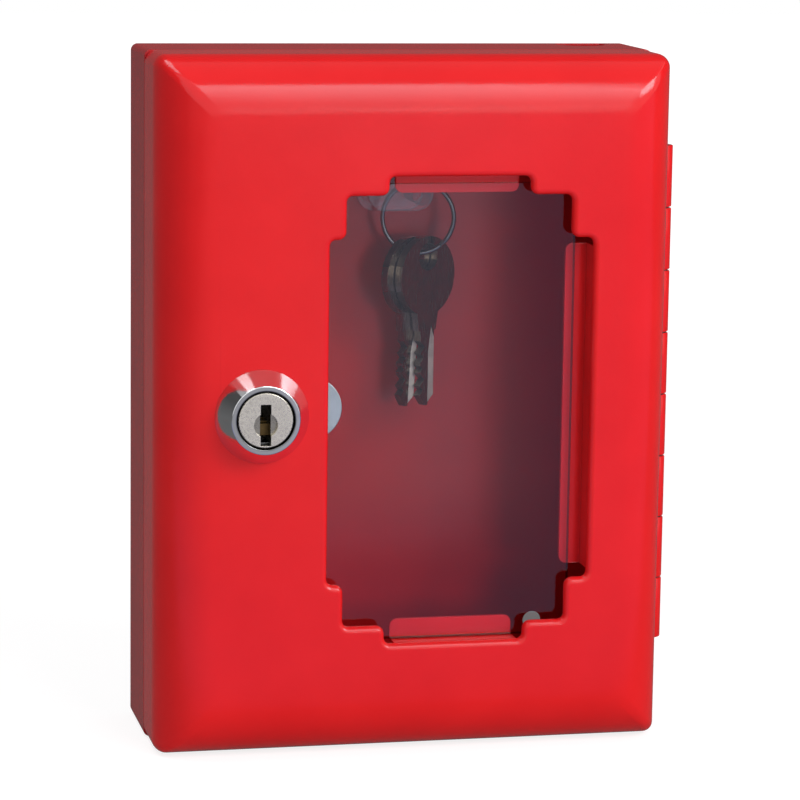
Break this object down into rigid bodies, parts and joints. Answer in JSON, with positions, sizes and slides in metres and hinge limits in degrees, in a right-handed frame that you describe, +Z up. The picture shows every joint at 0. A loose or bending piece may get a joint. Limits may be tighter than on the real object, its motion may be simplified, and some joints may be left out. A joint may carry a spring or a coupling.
{
  "type": "break glass key box",
  "caption": "Shallow wall box with a bevelled hinged door, a stepped glazed window, a cam lock and keys hanging on a clear hook inside.",
  "frame": {"origin": "centre of the four wall holes, on the back face of the tray", "axes": "+X towards the hinge side, -Y towards the front, +Z up"},
  "size_m": [0.1256, 0.0533, 0.161],
  "materials": {
    "red_paint": "glossy red powder coat with a fine orange peel",
    "glass": "clear float glass with a faint green edge",
    "chrome": "polished chrome plate",
    "plug_nickel": "dull nickel plate",
    "brass": "stamped brass",
    "zinc": "bright zinc plate",
    "pin_steel": "drawn steel wire",
    "clear_plastic": "clear polycarbonate",
    "adhesive": "matte foam adhesive pad",
    "ring_steel": "polished spring steel",
    "key_nickel": "nickel plate with milled grooves"
  },
  "bodies": {
    "box": {"back_box": "red_paint", "catch_bracket": "red_paint", "hinge_leaf_box": "red_paint", "hinge_pin": "pin_steel", "key_hook": "clear_plastic", "hook_pad": "adhesive"},
    "door": {"door": "red_paint", "hinge_leaf_door": "red_paint", "glass_pane": "glass", "lock_housing": "chrome", "lock_washer": "zinc", "lock_nut": "zinc"},
    "lock_core": {"lock_plug": "plug_nickel", "wafer_1": "brass", "wafer_2": "brass", "wafer_3": "brass", "wafer_4": "brass", "lock_cam": "zinc", "cam_washer": "zinc", "cam_screw": "zinc"},
    "ring": {"split_ring": "ring_steel"},
    "front_key": {"front_key": "key_nickel"},
    "rear_key": {"rear_key": "key_nickel"}
  },
  "joints": [
    {"name": "door_hinge", "type": "hinge", "parent": "box", "child": "door", "pos_m": [0.0629, -0.02265, -0.0013], "axis": [0, 0, 1], "range_deg": [0, 160]},
    {"name": "lock_turn", "type": "hinge", "parent": "door", "child": "lock_core", "pos_m": [-0.0368, -0.048, -0.0003], "axis": [0, 1, 0], "range_deg": [0, 180]},
    {"name": "ring_swing", "type": "hinge", "parent": "box", "child": "ring", "pos_m": [0.0072, -0.01, 0.0454], "axis": [0, 1, 0], "range_deg": [-20, 20]},
    {"name": "front_key_swing", "type": "hinge", "parent": "ring", "child": "front_key", "pos_m": [0.009, -0.0104, 0.03075], "axis": [-0.5821, 0.8131, 0], "range_deg": [-15, 15]},
    {"name": "rear_key_swing", "type": "hinge", "parent": "ring", "child": "rear_key", "pos_m": [0.00598, -0.00973, 0.03064], "axis": [-0.5821, 0.8131, 0], "range_deg": [-15, 15]}
  ]
}
